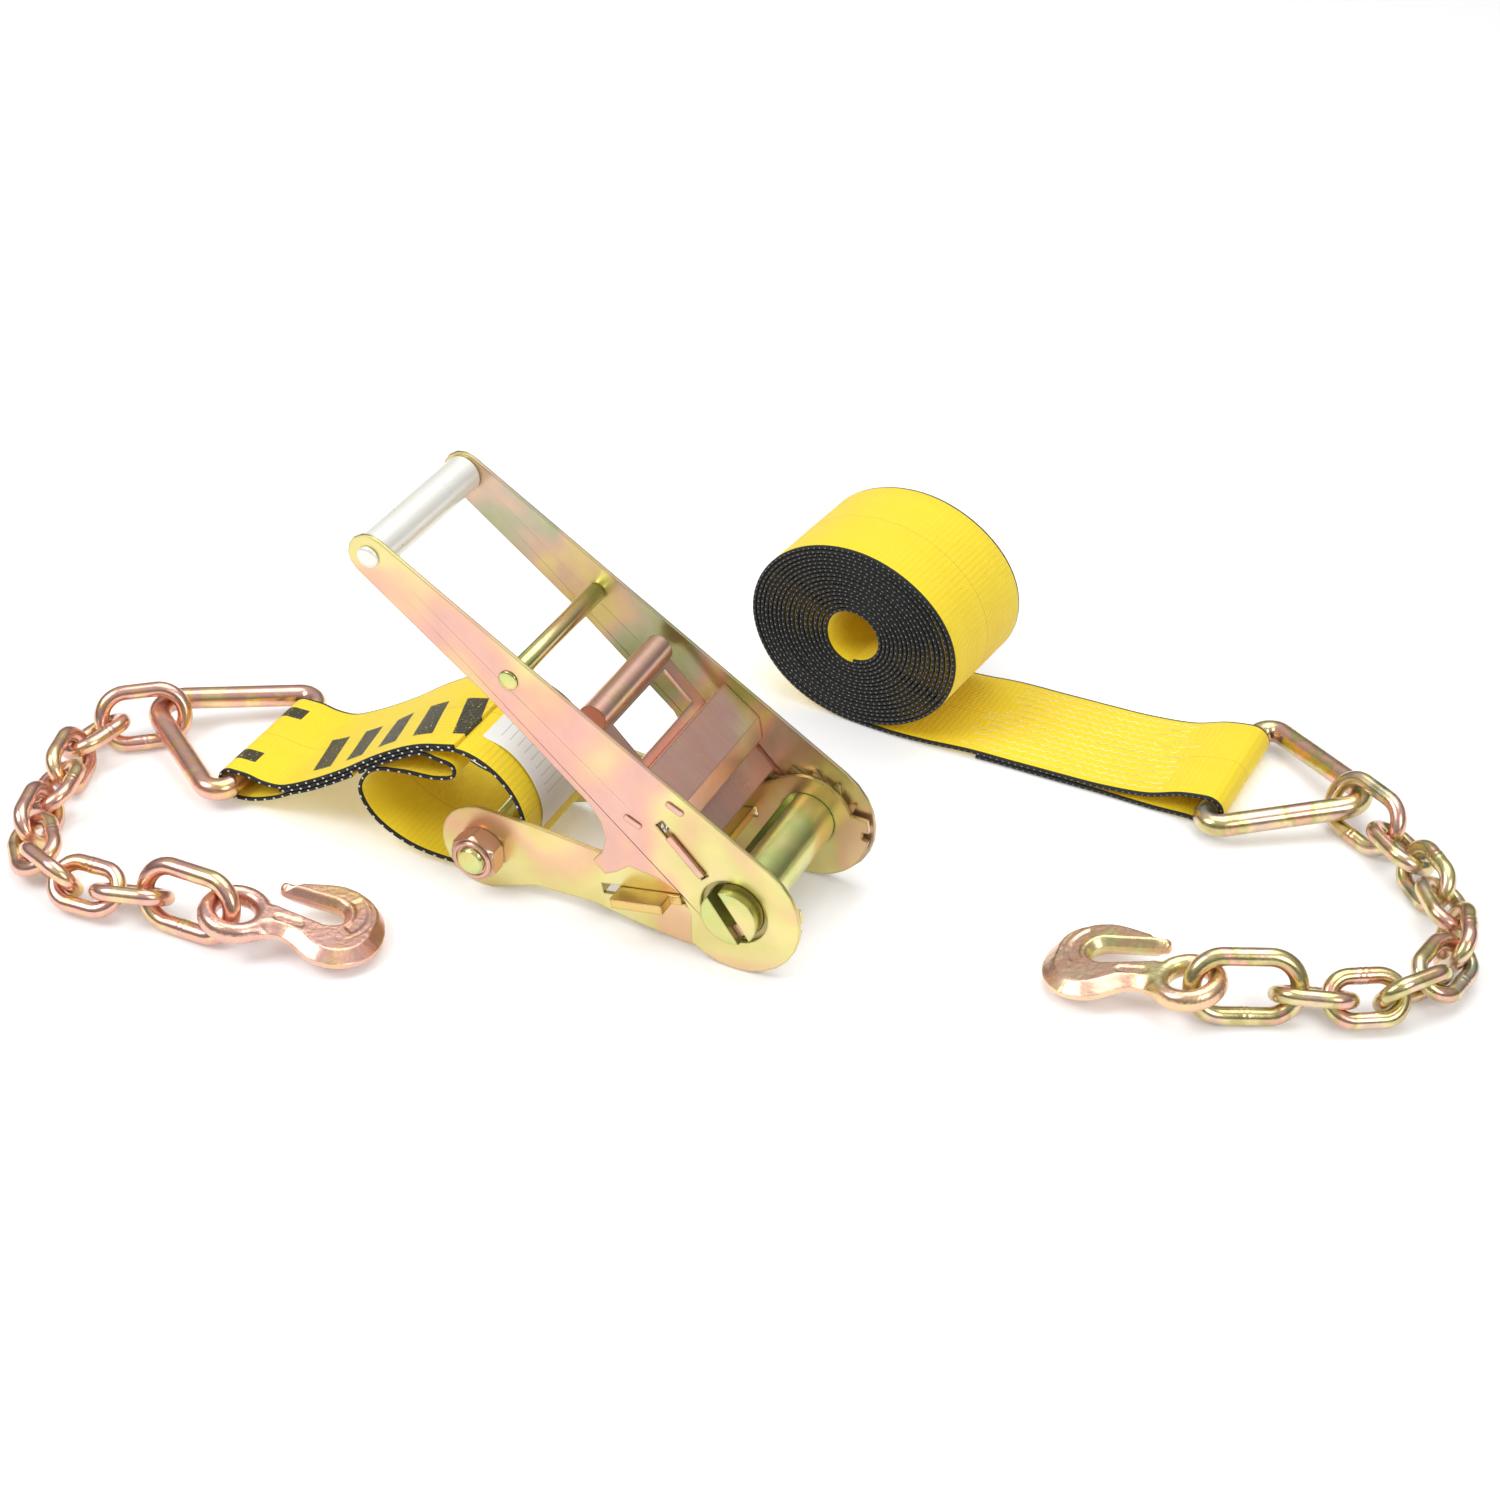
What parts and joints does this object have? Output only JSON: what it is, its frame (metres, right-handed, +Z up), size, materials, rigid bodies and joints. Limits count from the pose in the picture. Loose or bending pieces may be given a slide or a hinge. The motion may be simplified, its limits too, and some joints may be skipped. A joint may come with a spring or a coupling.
{
  "type": "ratchet tie-down strap with chain anchors",
  "caption": "Wide-web ratchet binder lying on a floor, with a rolled long strap and a delta ring, chain and grab hook at each end.",
  "frame": {"origin": "on the floor under the middle of the bounding box of the set as it lies", "axes": "+X along the straps from the left chain to the right chain, +Y along the ratchet axle away from the viewer, +Z up"},
  "size_m": [0.9756, 0.5516, 0.2608],
  "materials": {
    "yellow_zinc": "yellow zinc plated, satin",
    "gold_zinc": "gold zinc plated, satin",
    "pink_zinc": "pale iridescent zinc plated, satin",
    "chain_zinc": "yellow zinc plated, satin",
    "white_zinc": "white zinc, bright",
    "spring_steel": "bright",
    "webbing": "woven polyester webbing",
    "label": "woven label, blank"
  },
  "bodies": {
    "frame": {"frame_plate_near": "yellow_zinc", "frame_plate_far": "yellow_zinc", "strap_bolt": "yellow_zinc", "strap_bolt_nut": "pink_zinc", "spring_bar": "yellow_zinc", "base_spring_near": "spring_steel", "base_spring_far": "spring_steel", "short_strap": "webbing", "strap_label": "label"},
    "axle": {"axle_half_upper": "gold_zinc", "axle_half_lower": "gold_zinc", "axle_key_near": "spring_steel", "axle_key_far": "spring_steel", "ratchet_gear_near": "spring_steel", "ratchet_gear_far": "spring_steel"},
    "handle": {"handle_plate_near": "yellow_zinc", "handle_plate_far": "yellow_zinc", "grip": "white_zinc", "grip_pin": "white_zinc", "crossbar": "gold_zinc", "handle_brace": "pink_zinc", "pawl_spring_near": "spring_steel", "pawl_spring_far": "spring_steel"},
    "handle_pawl": {"handle_pawl": "pink_zinc"},
    "base_pawl": {"base_pawl": "gold_zinc"},
    "long_strap": {"strap_roll": "webbing", "tail_strap": "webbing"},
    "left_ring": {"left_ring": "chain_zinc"},
    "left_link_1": {"left_link_1": "chain_zinc"},
    "left_link_2": {"left_link_2": "chain_zinc"},
    "left_link_3": {"left_link_3": "chain_zinc"},
    "left_link_4": {"left_link_4": "chain_zinc"},
    "left_link_5": {"left_link_5": "chain_zinc"},
    "left_link_6": {"left_link_6": "chain_zinc"},
    "left_link_7": {"left_link_7": "chain_zinc"},
    "left_link_8": {"left_link_8": "chain_zinc"},
    "left_link_9": {"left_link_9": "chain_zinc"},
    "left_link_10": {"left_link_10": "chain_zinc"},
    "left_grab_hook": {"left_grab_hook": "chain_zinc"},
    "right_ring": {"right_ring": "chain_zinc"},
    "right_link_1": {"right_link_1": "chain_zinc"},
    "right_link_2": {"right_link_2": "chain_zinc"},
    "right_link_3": {"right_link_3": "chain_zinc"},
    "right_link_4": {"right_link_4": "chain_zinc"},
    "right_link_5": {"right_link_5": "chain_zinc"},
    "right_link_6": {"right_link_6": "chain_zinc"},
    "right_link_7": {"right_link_7": "chain_zinc"},
    "right_link_8": {"right_link_8": "chain_zinc"},
    "right_link_9": {"right_link_9": "chain_zinc"},
    "right_link_10": {"right_link_10": "chain_zinc"},
    "right_grab_hook": {"right_grab_hook": "chain_zinc"}
  },
  "joints": [
    {"name": "handle_swing", "type": "hinge", "parent": "frame", "child": "handle", "pos_m": [0.04804, -0.06595, 0.0471], "axis": [0, 1, 0], "range_deg": [-6, 110]},
    {"name": "axle_spin", "type": "hinge", "parent": "frame", "child": "axle", "pos_m": [0.04804, -0.06595, 0.0471], "axis": [0, 1, 0], "continuous": true},
    {"name": "handle_pawl_slide", "type": "slide", "parent": "handle", "child": "handle_pawl", "axis": [-0.6997, 0, 0.7145], "range_m": [0, 0.008], "stiffness_N_per_m": 900, "springref_m": -0.012, "deforming": ["pawl_spring_near", "pawl_spring_far"]},
    {"name": "base_pawl_slide", "type": "slide", "parent": "frame", "child": "base_pawl", "axis": [-0.9829, 0, -0.1839], "range_m": [0, 0.008], "stiffness_N_per_m": 900, "springref_m": -0.012, "deforming": ["base_spring_near", "base_spring_far"]},
    {"name": "long_strap_lies_apart", "type": "slide", "parent": "frame", "child": "long_strap", "axis": [1, 0, 0], "range_m": [0, 0.05]},
    {"name": "left_ring_flip", "type": "hinge", "parent": "frame", "child": "left_ring", "pos_m": [-0.34996, -0.06395, 0.0148], "axis": [0, 1, 0], "range_deg": [0, 18]},
    {"name": "left_link_1_turn", "type": "hinge", "parent": "left_ring", "child": "left_link_1", "pos_m": [-0.4398, -0.07528, 0.02213], "axis": [0, 0, 1], "range_deg": [-5, 1]},
    {"name": "left_link_2_turn", "type": "hinge", "parent": "left_link_1", "child": "left_link_2", "pos_m": [-0.46611, -0.09658, 0.01859], "axis": [0, 0, 1], "range_deg": [-5, 0]},
    {"name": "left_link_3_turn", "type": "hinge", "parent": "left_link_2", "child": "left_link_3", "pos_m": [-0.47074, -0.12956, 0.01859], "axis": [0, 0, 1], "range_deg": [-5, 1]},
    {"name": "left_link_4_turn", "type": "hinge", "parent": "left_link_3", "child": "left_link_4", "pos_m": [-0.46045, -0.16123, 0.01859], "axis": [0, 0, 1], "range_deg": [-5, 1]},
    {"name": "left_link_5_turn", "type": "hinge", "parent": "left_link_4", "child": "left_link_5", "pos_m": [-0.45072, -0.19307, 0.01859], "axis": [0, 0, 1], "range_deg": [-5, 1]},
    {"name": "left_link_6_turn", "type": "hinge", "parent": "left_link_5", "child": "left_link_6", "pos_m": [-0.43933, -0.22437, 0.01859], "axis": [0, 0, 1], "range_deg": [-5, 1]},
    {"name": "left_link_7_turn", "type": "hinge", "parent": "left_link_6", "child": "left_link_7", "pos_m": [-0.4162, -0.24832, 0.01859], "axis": [0, 0, 1], "range_deg": [-5, 1]},
    {"name": "left_link_8_turn", "type": "hinge", "parent": "left_link_7", "child": "left_link_8", "pos_m": [-0.38471, -0.25916, 0.01859], "axis": [0, 0, 1], "range_deg": [-5, 1]},
    {"name": "left_link_9_turn", "type": "hinge", "parent": "left_link_8", "child": "left_link_9", "pos_m": [-0.35149, -0.25684, 0.01859], "axis": [0, 0, 1], "range_deg": [-5, 1]},
    {"name": "left_link_10_turn", "type": "hinge", "parent": "left_link_9", "child": "left_link_10", "pos_m": [-0.31948, -0.24766, 0.02457], "axis": [0, 0, 1], "range_deg": [-5, 1]},
    {"name": "left_hook_turn", "type": "hinge", "parent": "left_link_10", "child": "left_grab_hook", "pos_m": [-0.26729, -0.2479, 0.02649], "axis": [0, 0, 1], "range_deg": [-1.5, 6]},
    {"name": "right_ring_flip", "type": "hinge", "parent": "long_strap", "child": "right_ring", "pos_m": [0.27595, 0.20598, 0.0124], "axis": [-0.0262, -0.9997, 0], "range_deg": [0, 18]},
    {"name": "right_link_1_turn", "type": "hinge", "parent": "right_ring", "child": "right_link_1", "pos_m": [0.36713, 0.19459, 0.02213], "axis": [0, 0, 1], "range_deg": [-1, 3]},
    {"name": "right_link_2_turn", "type": "hinge", "parent": "right_link_1", "child": "right_link_2", "pos_m": [0.39599, 0.1769, 0.01859], "axis": [0, 0, 1], "range_deg": [-1, 5]},
    {"name": "right_link_3_turn", "type": "hinge", "parent": "right_link_2", "child": "right_link_3", "pos_m": [0.42093, 0.15484, 0.01859], "axis": [0, 0, 1], "range_deg": [-1, 5]},
    {"name": "right_link_4_turn", "type": "hinge", "parent": "right_link_3", "child": "right_link_4", "pos_m": [0.44343, 0.13028, 0.01859], "axis": [0, 0, 1], "range_deg": [-1, 5]},
    {"name": "right_link_5_turn", "type": "hinge", "parent": "right_link_4", "child": "right_link_5", "pos_m": [0.46229, 0.10284, 0.01859], "axis": [0, 0, 1], "range_deg": [-1, 5]},
    {"name": "right_link_6_turn", "type": "hinge", "parent": "right_link_5", "child": "right_link_6", "pos_m": [0.47119, 0.07075, 0.01859], "axis": [0, 0, 1], "range_deg": [-1, 5]},
    {"name": "right_link_7_turn", "type": "hinge", "parent": "right_link_6", "child": "right_link_7", "pos_m": [0.46512, 0.03801, 0.01859], "axis": [0, 0, 1], "range_deg": [-1, 5]},
    {"name": "right_link_8_turn", "type": "hinge", "parent": "right_link_7", "child": "right_link_8", "pos_m": [0.44531, 0.01124, 0.01859], "axis": [0, 0, 1], "range_deg": [-1, 5]},
    {"name": "right_link_9_turn", "type": "hinge", "parent": "right_link_8", "child": "right_link_9", "pos_m": [0.41662, -0.00566, 0.01859], "axis": [0, 0, 1], "range_deg": [-1, 5]},
    {"name": "right_link_10_turn", "type": "hinge", "parent": "right_link_9", "child": "right_link_10", "pos_m": [0.38486, -0.01567, 0.02457], "axis": [0, 0, 1], "range_deg": [-1, 5]},
    {"name": "right_hook_turn", "type": "hinge", "parent": "right_link_10", "child": "right_grab_hook", "pos_m": [0.33748, -0.03761, 0.02649], "axis": [0, 0, 1], "range_deg": [-6, 1.5]}
  ]
}
